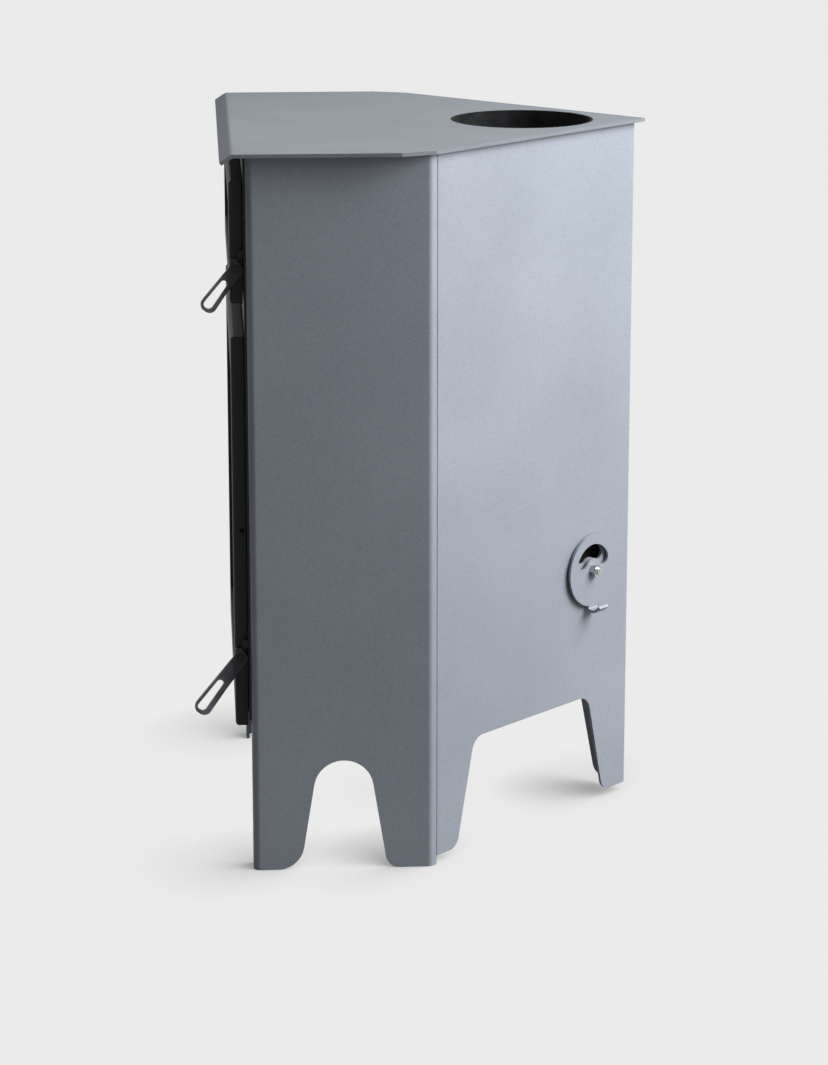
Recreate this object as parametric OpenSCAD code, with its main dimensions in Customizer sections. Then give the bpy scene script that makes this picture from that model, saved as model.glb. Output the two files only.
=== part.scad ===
/* [Casing] */
// Overall height, from the floor to the face of the top plate
stove_h = 800; // [720:5:880]
// Width across the two side panels
casing_w = 500; // [470:5:560]
// Depth of a side panel, from the front to the slanted rear
side_depth = 197; // [187:5:237]
// Sheet thickness of the side panels
side_t = 4; // [3:0.5:5]
// Sheet thickness of the slanted rear shell
rear_t = 3; // [2:0.5:4]
// Outer radius of the vertical bend at a side panel's front
front_bend_r = 8; // [6:0.5:12]
// Width of the return folded in behind the front plate
front_return = 25; // [20:1:30]
// Length of a side panel's flange along the slanted rear
rear_flange = 9.5; // [7:0.5:14]
// Open seam between that flange and the rear shell
seam_gap = 1; // [0.6:0.1:2]
// Height of the rear shell's lower edge above the floor
rear_lift = 10; // [6:1:16]
// Outer radius of the rear shell's upright corner
rear_corner_r = 5; // [5:0.5:10]
// Thickness of the front plate that the doors close against
front_t = 2.5; // [2:0.5:4]
// How far each upright edge of the front plate stays in from the casing's side
front_inset = 8; // [6:0.5:12]
// Thickness of the hearth plate under the fire
hearth_t = 4; // [3:0.5:6]

/* [Arches between the legs] */
// Width of a side panel's front leg where it meets the floor
side_leg_front = 52; // [45:1:60]
// Width of a side panel's rear leg where it meets the floor
side_leg_rear = 48; // [40:1:55]
// Lean of the side arch's edges from the upright, in degrees
side_arch_lean = 9.2; // [6:0.2:12]
// Radius of the side arch's round top
side_arch_r = 33; // [28:1:36]
// Radius of the front leg's inner corner at the floor
side_foot_front_r = 30; // [15:1:32]
// Radius of the rear leg's inner corner at the floor
side_foot_rear_r = 16; // [10:1:24]
// Width of a rear panel's legs at their lower edge
rear_leg = 44.5; // [38:0.5:52]
// Height of the rear arches' flat top above the floor
rear_arch_top = 133; // [110:1:150]
// Lean of the rear arches' edges from the upright, in degrees
rear_arch_lean = 13.6; // [8:0.2:18]
// Radius of the rear arches' top corners
rear_arch_r = 19; // [12:1:26]
// Radius of the rear legs' corners at their lower edge
rear_foot_r = 16; // [10:1:20]

/* [Top plate] */
// Thickness of the top plate
plate_t = 4; // [3:0.5:6]
// How far the plate stands out past the side panels
plate_side_over = 20; // [14:1:26]
// How far the plate stands out past the rear panels
plate_rear_over = 7; // [5:0.5:12]
// Length cut from each edge at the plate's side corners
plate_corner = 22; // [15:1:30]
// Distance of the front lip's fold from the casing's front
lip_fold = 13; // [8:1:16]
// Length of the folded front lip
lip_len = 14; // [12:1:22]
// Slope of the front lip, in degrees
lip_slope = 33; // [25:1:55]
// Inner radius of the lip's fold
lip_r = 4; // [2:0.5:6]

/* [Flue collar] */
// Inner diameter of the flue collar, for a 150 mm flue pipe
flue_bore = 155; // [135:1:160]
// Wall of the flue collar
flue_wall = 3; // [2:0.5:4]
// Length of the flue collar below the face of the top plate
flue_len = 50; // [40:1:60]
// Width of the flange that carries the collar under the top plate
flue_flange = 8; // [6:0.5:12]
// Gap between the collar's flange and the rear panels
flue_gap = 0.4; // [0.4:0.2:8]

/* [Doors] */
// How far the doors stay in from the casing's sides
door_inset = 20; // [15:1:26]
// Thickness of both doors
door_t = 14; // [13:0.5:18]
// Height of the oven door
oven_door_h = 132; // [128:1:150]
// Height of the firebox door
fire_door_h = 436; // [400:2:450]
// Distance of the oven door's top from the face of the top plate
door_top_gap = 33; // [24:1:40]
// Gap between the two doors
door_between = 36; // [30:1:44]
// Gap between a closed door and the front plate
door_stand = 1; // [0.8:0.1:2]
// Radius of a door's front edges
door_edge_r = 4; // [1:0.5:4.5]
// Border around the glass at a door's sides
window_side = 45; // [42:1:55]
// Border around the glass at the oven door's top and bottom
oven_window_border = 30; // [30:1:36]
// Border around the glass at the firebox door's top and bottom
fire_window_border = 45; // [40:1:60]
// Thickness of the ceramic glass
glass_t = 4; // [3:0.5:5]
// How far the glass reaches behind its frame on each side
glass_lap = 8; // [6:0.5:9]
// Width of the sealing rope
rope_w = 7; // [5:0.5:8]
// Distance of the rope's centre line from a door's edge
rope_inset = 14; // [12:0.5:15]

/* [Oven and firebox] */
// Depth of the oven inside
oven_depth = 210; // [180:5:220]
// Sheet thickness of the oven liner
oven_t = 3; // [2:0.5:4]
// Border that the oven door laps over its opening, top and bottom
oven_lap = 20; // [19:0.5:26]
// Border that both doors lap over their openings, at the sides
side_lap = 43; // [40:1:50]
// Rise of the hearth above the firebox door's lower edge
hearth_rise = 27; // [22:1:32]
// Border that the firebox door laps over its opening at the top
fire_lap = 29; // [22:1:36]
// Thickness of the lining boards
lining_t = 25; // [20:1:30]
// Width of the air channel behind the rear lining
air_gap = 12; // [8:1:16]
// Gap between the baffle board and the oven above it
baffle_gap = 32; // [20:1:45]
// Thickness of the baffle board over the fire
baffle_t = 20; // [15:1:25]
// Depth of the smoke gap in front of the baffle
baffle_front = 70; // [50:1:90]

/* [Latch levers] */
// Thickness of the lever plates
lever_t = 4.5; // [3:0.5:6]
// Length of the oven door's lever from its pivot to its tip
oven_lever_len = 55.5; // [50:0.5:60]
// Width of the oven door's lever
oven_lever_w = 19; // [17:0.5:22]
// Slope of the oven door's lever below the level, in degrees
oven_lever_slope = 53.5; // [45:0.5:65]
// Length of its slot, between the centres of the slot's round ends
oven_slot_len = 27.5; // [18:0.5:30]
// Height of the oven lever's pivot above the door's lower edge
oven_pivot_rise = 37; // [32:1:45]
// Length of the firebox door's lever from its pivot to its tip
fire_lever_len = 77.5; // [68:0.5:86]
// Width of the firebox door's lever
fire_lever_w = 20; // [18:0.5:24]
// Slope of the firebox door's lever below the level, in degrees
fire_lever_slope = 53.5; // [45:0.5:65]
// Length of its slot, between the centres of the slot's round ends
fire_slot_len = 33; // [22:0.5:42]
// Width of metal between each slot and its lever's upper edge
slot_wall = 3.2; // [2.5:0.1:4.5]
// Height of the firebox lever's pivot above the door's lower edge
fire_pivot_rise = 78; // [72:1:120]

/* [Air regulator] */
// Diameter of the regulator's disc
disc_d = 84; // [78:1:92]
// Thickness of the disc
disc_t = 3; // [2:0.5:4]
// Distance of the disc from the rear panel
disc_stand = 2.6; // [2:0.2:4]
// Distance of the regulator's bolt from the side panel's bend
disc_along = 279; // [265:1:290]
// Height of the regulator's bolt above the floor
disc_z = 286; // [270:1:330]
// Radius on which the air port's centre line lies
port_r = 22.5; // [20:0.5:25]
// Width of the air port
port_w = 17; // [12:0.5:18]
// Thread diameter of the regulator's bolt
bolt_d = 8; // [6:1:10]
// How far the bolt stands out from the rear panel
bolt_out = 16.5; // [15:0.5:22]
// Width of the finger tab at the disc's foot
tab_w = 16; // [12:1:20]
// Reach of the finger tab's first stretch
tab_reach = 8; // [7:0.5:12]
// Rise of the finger tab's curled end
tab_rise = 6; // [4:0.5:9]

/* [Hidden] */
$fn = 48;
// Greatest turn of one step in a rounded outline, in degrees
arc_angle = 360 / $fn;
// Overrun of every cut past the faces that it opens
cut = 1;
// Clearance of a pin that turns in its hole
run_fit = 0.05;
// Gap that keeps two moving faces apart
face_gap = 0.3;
// Slant of the rear panels, seen from above, in degrees
slant_a = 45;

// Levels and depths that several pieces share
casing_top = stove_h - plate_t;
half_w = casing_w / 2;
corner_y = side_depth + half_w * tan(slant_a);
rear_len = half_w / cos(slant_a);
flue_y = corner_y - (flue_bore / 2 + flue_wall + flue_flange + rear_t + flue_gap) / cos(slant_a);
door_w = casing_w - 2 * door_inset;
door_back = -front_t - door_stand;
door_front = door_back - door_t;
door_mid_y = (door_back + door_front) / 2;
oven_z1 = stove_h - door_top_gap;
oven_z0 = oven_z1 - oven_door_h;
fire_z1 = oven_z0 - door_between;
fire_z0 = fire_z1 - fire_door_h;
hearth_z = fire_z0 + hearth_rise;
opening_x = door_w / 2 - side_lap;
oven_open_z0 = oven_z0 + oven_lap;
oven_open_z1 = oven_z1 - oven_lap;
fire_open_z1 = fire_z1 - fire_lap;
inner_x = half_w - side_t;
lining_top = oven_open_z0 - oven_t - baffle_gap - baffle_t;
lining_h = lining_top - hearth_z;
lining_y = corner_y - (rear_t + air_gap + lining_t) / cos(slant_a);

// Front plate: how far its foot stays above the firebox door's lower edge
front_tuck = 9;
front_z0 = fire_z0 + front_tuck;
front_x = half_w - front_inset;

// Side panel: inner radius of the rear bend
rear_bend_r = 4;

// Corner strips that join the side panels to the rear shell from the inside
strip_t = 2.5;
strip_side = 14;
strip_rear = 30;
strip_foot = 40;

// Inner plates keep this far from the corner strips
strip_clear = 30;

// Door frames
door_front_lip = 5;
glass_play = 1;
rope_depth = 5;
clip_w = 18;
clip_t = 2;
clip_reach = 11;
screw_r = 2;
screw_head_r = 3.4;
screw_head_t = 1.6;
screw_len = 3.5;

// Door hinges
hinge_out = 7;
hinge_r = 6;
hinge_pin_r = 3;
hinge_pin_head = 2;
hinge_pin_head_r = 4.6;
knuckle_h = 10;
lug_h = 14;
oven_hinge_inset = 26;
fire_hinge_inset = 60;
lug_root = 6;

// Small recess in the firebox door's near edge
edge_hole_r = 2.8;
edge_hole_depth = 6;
edge_hole_back = 4;
edge_hole_rise = 4;

// Latch levers and catches
lever_gap = 0.4;
lever_root_r = 7.4;
lever_pin_r = 3;
lever_pin_depth = 8;
lever_head_t = 1.5;
lever_head_r = 5;
// Outline of a lever's arm: shares of its length and of its width
arm_shares = [[0.5, -0.36], [1, -0.43], [1, 0.57]];
// Height of the arm's upper edge beside the pivot: share of the arm's width
root_share = 0.39;
// Radius of the two corners of a lever's tip: share of its width
tip_share = 0.42;
// Outline of the hook above the pivot: shares of the root's radius
hook_shares = [[-0.82, 1.62], [0, 1.62], [0.62, 0.76], [0.97, 0.25]];
hook_fillet = 15;
hook_r = 1.4;
// Round ends of a lever's slot, and how far its lower centre stays from the tip
slot_end = 8.2;
slot_top_r = 3.8;
slot_low_r = 5.1;
catch_pin_r = 2.5;
catch_t = 3;
catch_w = 6;
catch_gap = 1;

// Regulator
spacer_r = 8;
tab_r = 2;
tab_dip = 0.5;
tab_curl = 7;
tab_root = 8;
nut_af = 13;
nut_h = 6.5;
head_h = 5;
port_half = 57;
shell_port_half = 38;

// Rear levelling foot
foot_back = 36;
foot_r = 15;
foot_pad = 8;
foot_cone = 5;
foot_stem_r = 6;
foot_up = 14;
boss_r = 11;
boss_h = 16;

// Hearth
tray_t = 3;
ash_h = 45;
ash_sheet = 2;
ash_side_gap = 6;
ash_side = 69;
pan_front = 8;
pan_h = 34;
pan_grip = 9;
pan_grip_w = 90;
floor_gap = 2;
brick_t = 25;
grate_side = 30;
grate_y0 = 62;
grate_t = 14;
grate_ledge = 10;
grate_gap = 3;
grate_rim = 14;
grate_bars = 11;
grate_bar = 9;
floor_y0 = 12;
retainer_y = 22;
retainer_t = 5;
retainer_h = 42;
retainer_side = 39;
retainer_slots = 7;
retainer_slot_w = 12;
retainer_foot = 22;
ash_half = inner_x - lining_t - floor_gap - ash_side;
pan_back = lining_y - ash_half - tray_t - floor_gap;
grate_half = ash_half - grate_side;
grate_y1 = pan_back - tray_t;
retainer_half = inner_x - lining_t - retainer_side;

// Linings
side_lining_y0 = 8;
lining_end = 10;
board_gap = 0.6;
air_hole_r = 7;
air_holes = 6;
air_hole_pitch = 34;
air_hole_rise = 150;

// Oven
runner_w = 12;
runner_t = 2;
runner_rise = 14;
rack_rod_r = 3;
rack_wire_r = 1.8;
rack_wires = 15;
rack_play = 2;

// How fast a lever's upper edge leaves the arm's axis
function lever_spread(len, w) = (arm_shares[2][1] - root_share) * w / len;

// Deepest point of a lever, at the upper corner of its tip
function lever_tip(len, w, slope) =
    let (r = tip_share * w, k = lever_spread(len, w), u = len - r)
    let (v = root_share * w + k * u - r * norm([1, k]))
    door_mid_y - u * cos(slope) - v * sin(slope) - r;

// The part's origin is under the middle of its outermost box
y_front = min(lever_tip(fire_lever_len, fire_lever_w, fire_lever_slope),
              lever_tip(oven_lever_len, oven_lever_w, oven_lever_slope),
              -lip_fold - lip_len * cos(lip_slope));
y_back = corner_y + plate_rear_over / cos(slant_a);
mid_y = (y_front + y_back) / 2;

// A direction of length one
function unit(v) = v / norm(v);

// Points of one rounded corner b between the points a and c
function corner_pts(a, b, c, r) =
    r == 0 ? [b] :
    let (u = unit(a - b), v = unit(c - b), half = acos(u * v) / 2)
    let (o = b + unit(u + v) * r / sin(half))
    let (s = b + u * r / tan(half) - o, e = b + v * r / tan(half) - o)
    let (turn = sign(cross(s, e)) * (180 - 2 * half), steps = ceil(abs(turn) / arc_angle))
    [for (k = [0 : steps])
        let (t = turn * k / steps)
        o + [s[0] * cos(t) - s[1] * sin(t), s[0] * sin(t) + s[1] * cos(t)]];

// Outline through pts with each corner rounded by its own radius
function rounded(pts, radii) =
    let (n = len(pts))
    [for (i = [0 : n - 1])
        each corner_pts(pts[(i + n - 1) % n], pts[i], pts[(i + 1) % n], radii[i])];

// Square to a direction, on its left
function left_of(v) = [-v[1], v[0]];

// Corner b moved by t to the left of the path a, b, c
function moved(a, b, c, t) =
    let (p = left_of(unit(b - a)), q = left_of(unit(c - b)), m = unit(p + q))
    b + m * t / (m * p);

// Outline of a sheet of thickness t that follows a path, bent with inner radii
function bent(path, t, radii) =
    let (n = len(path))
    let (lefts = [for (i = [1 : n - 2])
        cross(path[i] - path[i - 1], path[i + 1] - path[i]) > 0])
    let (inner = [for (i = [1 : n - 2]) moved(path[i - 1], path[i], path[i + 1], t)])
    let (p0 = path[0] + left_of(unit(path[1] - path[0])) * t)
    let (p1 = path[n - 1] + left_of(unit(path[n - 1] - path[n - 2])) * t)
    let (near_r = [for (i = [0 : n - 3]) lefts[i] ? radii[i] + t : radii[i]])
    let (far_r = [for (i = [n - 3 : -1 : 0]) lefts[i] ? radii[i] : radii[i] + t])
    rounded(
        concat(path, [p1], [for (i = [n - 3 : -1 : 0]) inner[i]], [p0]),
        concat([0], near_r, [0, 0], far_r, [0]));

// Outline around two circles, as a belt would lie
function belt(p, rp, q, rq) =
    let (d = norm(q - p), a = atan2(q[1] - p[1], q[0] - p[0]), b = acos((rp - rq) / d))
    let (steps = ceil(180 / arc_angle))
    concat(
        [for (k = [0 : steps]) let (t = a + b + (360 - 2 * b) * k / steps) p + rp * [cos(t), sin(t)]],
        [for (k = [0 : steps]) let (t = a - b + 2 * b * k / steps) q + rq * [cos(t), sin(t)]]);

// Point on the right rear panel: s along it, n inward from its outer face
function slant(s, n) =
    [half_w - (s + n) * cos(slant_a), side_depth + (s - n) * sin(slant_a)];

// Point where the right rear panel, moved in by n, reaches the depth y
function slant_at(y, n) = [corner_y - n / cos(slant_a) - y, y];

// Both halves of an outline that is drawn for the right side
function both(pts) =
    concat(pts, [for (i = [len(pts) - 1 : -1 : 0]) [-pts[i][0], pts[i][1]]]);

// Whole part, with its origin under its middle
module placed() {
    translate([0, -mid_y, 0]) children();
}

// An outline of depth and height, drawn through the width
module across(x0, width) {
    translate([x0, 0, 0])
        rotate([90, 0, 90])
            linear_extrude(height = width) children();
}

// An outline of width and height, drawn from the depth y1 forward to y0
module facing(y0, y1) {
    translate([0, y1, 0])
        rotate([90, 0, 0])
            linear_extrude(height = y1 - y0) children();
}

// Right rear panel's own space: along it, up, and outward
module on_slant() {
    translate([half_w, side_depth, 0])
        rotate([90, 0, 180 - slant_a]) children();
}

// A box between two corners
module block(a, b) {
    translate(a) cube(b - a);
}

// A cylinder along the width, from x0 to x1
module rod_x(x0, x1, y, z, r) {
    translate([x0, y, z])
        rotate([0, 90, 0]) cylinder(h = x1 - x0, r = r);
}

// A cylinder along the depth, from y0 to y1
module rod_y(x, y0, y1, z, r) {
    translate([x, y1, z])
        rotate([90, 0, 0]) cylinder(h = y1 - y0, r = r);
}

// Top plate: one sheet with a folded front lip, an opening for the flue collar
module top_plate() {
    lip_end = [-lip_fold - lip_len * cos(lip_slope), casing_top - lip_len * sin(lip_slope)];
    tip = y_back;
    side_x = half_w + plate_side_over;
    corner = tip - side_x;
    reach = 2 * (lip_fold + lip_len);
    color("dimgray") placed() difference() {
        intersection() {
            across(-side_x, 2 * side_x)
                polygon(bent([lip_end, [-lip_fold, casing_top], [tip, casing_top]], plate_t, [lip_r]));
            linear_extrude(height = stove_h + plate_t)
                polygon(both([
                    [side_x, -reach],
                    [side_x, corner - plate_corner],
                    [side_x - plate_corner * cos(slant_a), corner + plate_corner * sin(slant_a)],
                    [0, tip]]));
        }
        translate([0, flue_y, casing_top - cut])
            cylinder(h = plate_t + 2 * cut, r = flue_bore / 2 + flue_wall, $fn = 96);
    }
}

// Flue collar: a short tube with a flange under the top plate
module flue_collar() {
    color("gray") placed() translate([0, flue_y, 0]) difference() {
        union() {
            translate([0, 0, stove_h - flue_len])
                cylinder(h = flue_len, r = flue_bore / 2 + flue_wall, $fn = 96);
            translate([0, 0, casing_top - plate_t])
                cylinder(h = plate_t, r = flue_bore / 2 + flue_wall + flue_flange, $fn = 96);
        }
        translate([0, 0, stove_h - flue_len - cut])
            cylinder(h = flue_len + 2 * cut, r = flue_bore / 2, $fn = 96);
    }
}

// The arch between a side panel's legs, as depth and height
module side_arch() {
    y0 = side_leg_front;
    y1 = side_depth - side_leg_rear;
    top = (y1 - y0) / 2 / tan(side_arch_lean);
    polygon(rounded(
        [[-cut, -cut], [-cut, 0], [y0, 0], [(y0 + y1) / 2, top], [y1, 0],
            [side_depth + side_leg_rear, 0], [side_depth + side_leg_rear, -cut]],
        [0, 0, side_foot_front_r, side_arch_r, side_foot_rear_r, 0, 0]));
}

module side_panel() {
    difference() {
        linear_extrude(height = casing_top)
            polygon(bent(
                [[half_w - front_return, 0], [half_w, 0], [half_w, side_depth], slant(rear_flange, 0)],
                side_t, [front_bend_r - side_t, rear_bend_r]));
        across(half_w - side_t - cut, side_t + 2 * cut) side_arch();
    }
}

// Side panels: folded sheets whose lower ends are the front and middle legs
module side_panel_right() {
    color("slategray") placed() side_panel();
}

module side_panel_left() {
    color("slategray") placed() mirror([1, 0, 0]) side_panel();
}

// The arch in a rear panel, along the panel and up
module rear_arch() {
    lean = tan(rear_arch_lean);
    foot = rear_leg;
    top = foot + (rear_arch_top - rear_lift) * lean;
    polygon(rounded(
        [[-rear_leg, rear_lift - cut], [-rear_leg, rear_lift], [foot, rear_lift],
            [top, rear_arch_top], [rear_len - top, rear_arch_top], [rear_len - foot, rear_lift],
            [rear_len + rear_leg, rear_lift], [rear_len + rear_leg, rear_lift - cut]],
        [0, 0, rear_foot_r, rear_arch_r, rear_arch_r, rear_foot_r, 0, 0]));
}

// A curved port around the regulator's bolt: a ring's sector with round ends
module port(half) {
    function at(r, t) = r * [cos(t), sin(t)];
    function arc(c, r, t0, t1, n) = [for (k = [1 : n - 1]) c + at(r, t0 + (t1 - t0) * k / n)];
    a0 = 90 - half;
    a1 = 90 + half;
    long = ceil(2 * half / arc_angle);
    short = ceil(180 / arc_angle);
    w = port_w / 2;
    polygon(concat(
        [at(port_r + w, a0)], arc([0, 0], port_r + w, a0, a1, long), [at(port_r + w, a1)],
        arc(at(port_r, a1), w, a1, a1 + 180, short), [at(port_r - w, a1)],
        arc([0, 0], port_r - w, a1, a0, long), [at(port_r - w, a0)],
        arc(at(port_r, a0), w, a0 + 180, a0 + 360, short)));
}

// Rear shell: one sheet folded at the upright rear corner
module rear_shell() {
    start = rear_flange + seam_gap;
    color("lightslategray") placed() difference() {
        translate([0, 0, rear_lift])
            linear_extrude(height = casing_top - rear_lift)
                polygon(bent(
                    [slant(start, 0), [0, corner_y], [-slant(start, 0)[0], slant(start, 0)[1]]],
                    rear_t, [rear_corner_r - rear_t]));
        for (m = [0, 1])
            mirror([m, 0, 0]) on_slant()
                translate([0, 0, -rear_t - cut])
                    linear_extrude(height = rear_t + 2 * cut) rear_arch();
        on_slant() translate([disc_along, disc_z, -rear_t - cut]) {
            linear_extrude(height = rear_t + 2 * cut) port(shell_port_half);
            cylinder(h = rear_t + 2 * cut, r = bolt_d / 2 + run_fit);
        }
    }
}

// Corner strip: a folded strip inside the joint of a side panel and the rear shell
module corner_strip() {
    side_face = half_w - side_t;
    bend = slant_at(side_depth - side_t * tan(slant_a / 2), side_t);
    translate([0, 0, strip_foot])
        linear_extrude(height = casing_top - strip_foot)
            polygon(bent(
                [[side_face, bend[1] - strip_side], [side_face, bend[1]],
                    slant(strip_rear, side_t)],
                strip_t, [rear_bend_r]));
}

module corner_strip_right() {
    color("dimgray") placed() corner_strip();
}

module corner_strip_left() {
    color("dimgray") placed() mirror([1, 0, 0]) corner_strip();
}

// Front plate behind the doors, with the firebox's and the oven's openings
module front_plate() {
    color("darkslategray") placed() facing(-front_t, 0) difference() {
        polygon([[-front_x, front_z0], [front_x, front_z0], [front_x, casing_top], [-front_x, casing_top]]);
        polygon([[-opening_x, hearth_z], [opening_x, hearth_z],
            [opening_x, fire_open_z1], [-opening_x, fire_open_z1]]);
        polygon([[-opening_x, oven_open_z0], [opening_x, oven_open_z0],
            [opening_x, oven_open_z1], [-opening_x, oven_open_z1]]);
    }
}

// Plan of the casing's inside, clear of the corner strips and of the inner bends
module inner_plan() {
    rear_y = slant(strip_clear + rear_flange, 0)[1];
    front_round = front_bend_r - side_t;
    rear_round = rear_corner_r - rear_t;
    polygon(both([
        [half_w - front_return, 0],
        [half_w - front_return, side_t],
        [inner_x - front_round, side_t],
        [inner_x, side_t + front_round],
        [inner_x, side_depth - strip_clear],
        slant_at(rear_y, rear_t),
        slant_at(corner_y - rear_t / cos(slant_a) - rear_round, rear_t)]));
}

// Hearth plate: the casing's floor under the ash pan
module hearth_plate() {
    color("dimgray") placed()
        translate([0, 0, hearth_z - hearth_t]) linear_extrude(height = hearth_t) inner_plan();
}

// Threaded boss under the hearth plate and the levelling foot in it
module rear_foot_boss() {
    z1 = hearth_z - hearth_t;
    color("gray") placed() translate([0, side_depth + foot_back, z1 - boss_h]) difference() {
        cylinder(h = boss_h, r = boss_r, $fn = 6);
        translate([0, 0, -cut]) cylinder(h = boss_h + cut, r = foot_stem_r + run_fit);
    }
}

module rear_foot() {
    z1 = hearth_z - hearth_t - boss_h + foot_up;
    color("silver") placed() translate([0, side_depth + foot_back, 0])
        rotate_extrude()
            polygon([[0, 0], [foot_r, 0], [foot_r, foot_pad - foot_cone], [foot_stem_r, foot_pad],
                [foot_stem_r, z1], [0, z1]]);
}

// Plan of the fire's floor inside the lining boards, drawn in by floor_gap
module floor_plan(y0) {
    x = inner_x - lining_t - floor_gap;
    n = rear_t + air_gap + lining_t + floor_gap;
    side_y = slant_at(0, n)[0] - x;
    polygon(both([[x, y0], [x, side_y], slant_at(slant_at(0, n)[0], n)]));
}

// Grate tray: a sheet over the ash space, carried by two upright webs and a front apron
module grate_tray() {
    z1 = hearth_z + ash_h;
    color("gray") placed() {
        difference() {
            translate([0, 0, z1 - tray_t]) linear_extrude(height = tray_t) floor_plan(floor_y0);
            block([-grate_half + grate_ledge, grate_y0 + grate_ledge, z1 - tray_t - cut],
                [grate_half - grate_ledge, grate_y1 - grate_ledge, z1 + cut]);
        }
        for (m = [0, 1]) mirror([m, 0, 0]) {
            block([ash_half, floor_y0, hearth_z], [ash_half + tray_t, pan_back, z1 - tray_t]);
            block([ash_half, floor_y0, hearth_z],
                [inner_x - lining_t - floor_gap, floor_y0 + tray_t, z1 - tray_t]);
        }
    }
}

// Ash pan: an open sheet box with a grip along its front
module ash_pan() {
    x = ash_half - ash_side_gap;
    z1 = hearth_z + pan_h;
    color("gray") placed() {
        difference() {
            block([-x, pan_front, hearth_z], [x, pan_back, z1]);
            block([-x + ash_sheet, pan_front + ash_sheet, hearth_z + ash_sheet],
                [x - ash_sheet, pan_back - ash_sheet, z1 + cut]);
        }
        across(-pan_grip_w / 2, pan_grip_w)
            polygon(bent(
                [[pan_front, z1 - pan_grip], [pan_front - ash_sheet, z1 - pan_grip],
                    [pan_front - ash_sheet, z1]],
                ash_sheet, [0]));
    }
}

// Grate: a cast frame with bars, lying on the tray's ledge
module grate() {
    z0 = hearth_z + ash_h;
    x = grate_half - grate_gap;
    y0 = grate_y0 + grate_gap;
    y1 = grate_y1 - grate_gap;
    pitch = (2 * (x - grate_rim) - grate_bar) / (grate_bars + 1);
    color("black") placed() {
        difference() {
            block([-x, y0, z0], [x, y1, z0 + grate_t]);
            block([-x + grate_rim, y0 + grate_rim, z0 - cut],
                [x - grate_rim, y1 - grate_rim, z0 + grate_t + cut]);
        }
        for (k = [0 : grate_bars + 1])
            translate([-x + grate_rim + grate_bar / 2 + k * pitch, 0, 0])
                block([-grate_bar / 2, y0 + grate_rim, z0], [grate_bar / 2, y1 - grate_rim, z0 + grate_t]);
    }
}

// Floor bricks: four boards laid around the grate
module floor_bricks() {
    z0 = hearth_z + ash_h;
    far = corner_y;
    color("burlywood") placed() intersection() {
        translate([0, 0, z0]) linear_extrude(height = brick_t) floor_plan(floor_y0);
        union() {
            block([-inner_x, 0, z0], [inner_x, grate_y0 - board_gap, z0 + brick_t]);
            block([-inner_x, grate_y1 + board_gap, z0], [inner_x, far, z0 + brick_t]);
            block([-inner_x, grate_y0, z0], [-grate_half, grate_y1, z0 + brick_t]);
            block([grate_half, grate_y0, z0], [inner_x, grate_y1, z0 + brick_t]);
        }
    }
}

// Log retainer: a slotted bar standing on the front brick
module log_retainer() {
    z0 = hearth_z + ash_h + brick_t;
    pitch = 2 * retainer_half / (retainer_slots + 1);
    slot_z0 = z0 + retainer_foot / 2;
    slot_z1 = z0 + retainer_h - retainer_slot_w;
    color("black") placed() {
        facing(retainer_y, retainer_y + retainer_t) difference() {
            polygon([[-retainer_half, z0], [retainer_half, z0],
                [retainer_half, z0 + retainer_h], [-retainer_half, z0 + retainer_h]]);
            for (k = [1 : retainer_slots])
                polygon(belt(
                    [-retainer_half + k * pitch, slot_z0], retainer_slot_w / 2,
                    [-retainer_half + k * pitch, slot_z1], retainer_slot_w / 2 - board_gap));
        }
        for (x = [-retainer_half, retainer_half - retainer_foot])
            block([x, retainer_y + retainer_t, z0],
                [x + retainer_foot, retainer_y + retainer_t + retainer_foot, z0 + retainer_t]);
    }
}

// Lining boards of the firebox
module side_lining() {
    y1 = side_depth - strip_clear - lining_end;
    block([inner_x - lining_t, side_lining_y0, hearth_z], [inner_x, y1, lining_top]);
}

module side_lining_right() {
    color("burlywood") placed() side_lining();
}

module side_lining_left() {
    color("burlywood") placed() mirror([1, 0, 0]) side_lining();
}

module rear_lining() {
    y0 = side_depth - strip_clear;
    n0 = rear_t + air_gap;
    n1 = n0 + lining_t;
    linear_extrude(height = lining_h)
        polygon([
            slant_at(y0, n1),
            [min(slant_at(y0, n0)[0], inner_x - side_t - strip_t), y0],
            [min(slant_at(y0, n0)[0], inner_x - side_t - strip_t),
                max(y0, corner_y - n0 / cos(slant_a) - inner_x + side_t + strip_t)],
            [board_gap / 2, corner_y - n0 / cos(slant_a) - board_gap / 2],
            [board_gap / 2, corner_y - n1 / cos(slant_a) - board_gap / 2]]);
}

// The right rear board has a row of air holes fed by the regulator
module rear_lining_right() {
    n1 = rear_t + air_gap + lining_t;
    color("burlywood") placed() difference() {
        translate([0, 0, hearth_z]) rear_lining();
        for (k = [0 : air_holes - 1])
            on_slant()
                translate([rear_len / 2 + (k - (air_holes - 1) / 2) * air_hole_pitch,
                    hearth_z + air_hole_rise, -n1 - cut])
                    cylinder(h = lining_t + 2 * cut, r = air_hole_r);
    }
}

module rear_lining_left() {
    color("burlywood") placed() mirror([1, 0, 0]) translate([0, 0, hearth_z]) rear_lining();
}

// Baffle board over the fire, lying on the lining boards
module baffle_board() {
    y0 = baffle_front;
    n = rear_t + floor_gap;
    x = inner_x - floor_gap;
    side_y = side_depth - strip_clear;
    color("burlywood") placed()
        translate([0, 0, lining_top]) linear_extrude(height = baffle_t)
            polygon(both([
                [x, y0], [x, side_y], slant_at(slant(strip_clear + rear_flange, 0)[1], n),
                slant_at(corner_y - n / cos(slant_a), n)]));
}

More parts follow.
